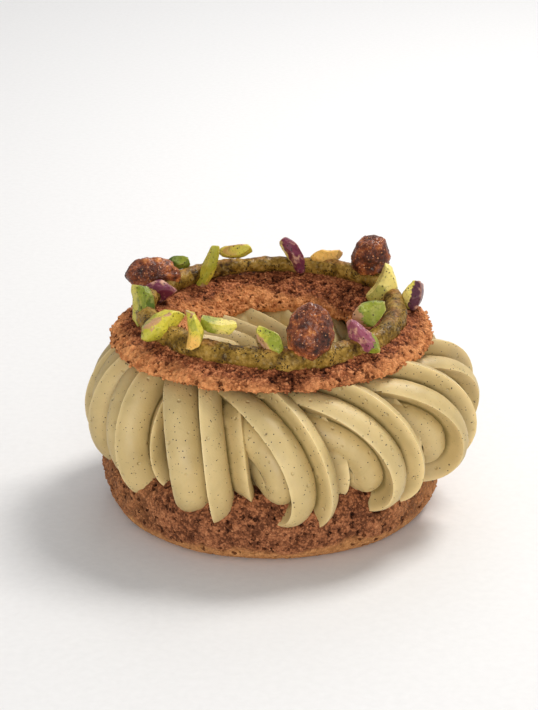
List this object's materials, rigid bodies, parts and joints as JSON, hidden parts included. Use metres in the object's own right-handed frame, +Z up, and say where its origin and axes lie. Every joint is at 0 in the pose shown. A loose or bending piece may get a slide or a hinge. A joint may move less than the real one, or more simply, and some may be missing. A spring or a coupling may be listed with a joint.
{
  "type": "pistachio paris-brest",
  "caption": "Ring of choux pastry split in two around a thick coil of piped pistachio cream, its lid topped with praline, caramelised nuts and cut pistachios",
  "frame": {"origin": "on the table, under the middle of the pastry's bounding box", "axes": "+Z up, -Y towards the viewer of the picture, +X to that viewer's right"},
  "size_m": [0.0969, 0.0962, 0.0611],
  "materials": {
    "base_crust": "baked, matte",
    "lid_crust": "baked, matte",
    "cream": "smooth, satin",
    "praline": "glossy",
    "caramel": "sugared, glossy",
    "pistachio": "cut nut, satin",
    "pistachio_skin": "cut nut, satin"
  },
  "bodies": {
    "root": {"base_shell": "base_crust", "top_shell": "lid_crust", "cream_ring": "cream", "praline_ring": "praline", "caramelised_nut_1": "caramel", "caramelised_nut_2": "caramel", "caramelised_nut_3": "caramel", "pistachio_piece_01": "pistachio", "pistachio_piece_02": "pistachio_skin", "pistachio_piece_03": "pistachio", "pistachio_piece_04": "pistachio", "pistachio_piece_05": "pistachio", "pistachio_piece_06": "pistachio", "pistachio_piece_07": "pistachio", "pistachio_piece_08": "pistachio", "pistachio_piece_09": "pistachio", "pistachio_piece_10": "pistachio_skin", "pistachio_piece_11": "pistachio", "pistachio_piece_12": "pistachio", "pistachio_piece_13": "pistachio", "pistachio_piece_14": "pistachio", "pistachio_piece_15": "pistachio_skin"}
  },
  "joints": []
}
